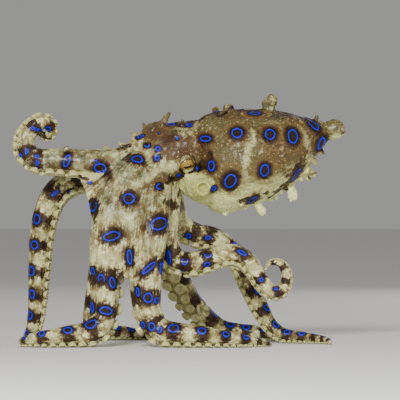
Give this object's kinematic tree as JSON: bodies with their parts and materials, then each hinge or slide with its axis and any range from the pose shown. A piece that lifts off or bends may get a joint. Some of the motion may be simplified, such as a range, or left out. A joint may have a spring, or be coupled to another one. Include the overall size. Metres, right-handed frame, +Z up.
{
  "type": "greater blue-ringed octopus",
  "caption": "Blue-ringed octopus as a still life-size model: it leans on its spread arms, holds its pointed mantle out level, and lifts a curled arm.",
  "frame": {"origin": "middle of the bottom of the model's box, on the floor it rests on", "axes": "+X towards the tail end of the mantle, +Z up, -Y towards the animal's left side, which the picture shows"},
  "size_m": [0.083, 0.0572, 0.0627],
  "materials": {
    "skin": "satin",
    "eye": "gloss"
  },
  "bodies": {
    "root": {"mantle": "skin", "head": "skin", "funnel": "skin", "eye_left": "eye", "eye_right": "eye", "arm_crown": "skin", "arm_left_1_base": "skin", "arm_left_1_middle": "skin", "arm_left_1_tip": "skin", "arm_left_2_base": "skin", "arm_left_2_middle": "skin", "arm_left_2_tip": "skin", "arm_left_3_base": "skin", "arm_left_3_middle": "skin", "arm_left_3_tip": "skin", "arm_left_4_base": "skin", "arm_left_4_middle": "skin", "arm_left_4_tip": "skin", "arm_right_1_base": "skin", "arm_right_1_middle": "skin", "arm_right_1_tip": "skin", "arm_right_2_base": "skin", "arm_right_2_middle": "skin", "arm_right_2_tip": "skin", "arm_right_3_base": "skin", "arm_right_3_middle": "skin", "arm_right_3_tip": "skin", "arm_right_4_base": "skin", "arm_right_4_middle": "skin", "arm_right_4_tip": "skin"}
  },
  "joints": []
}
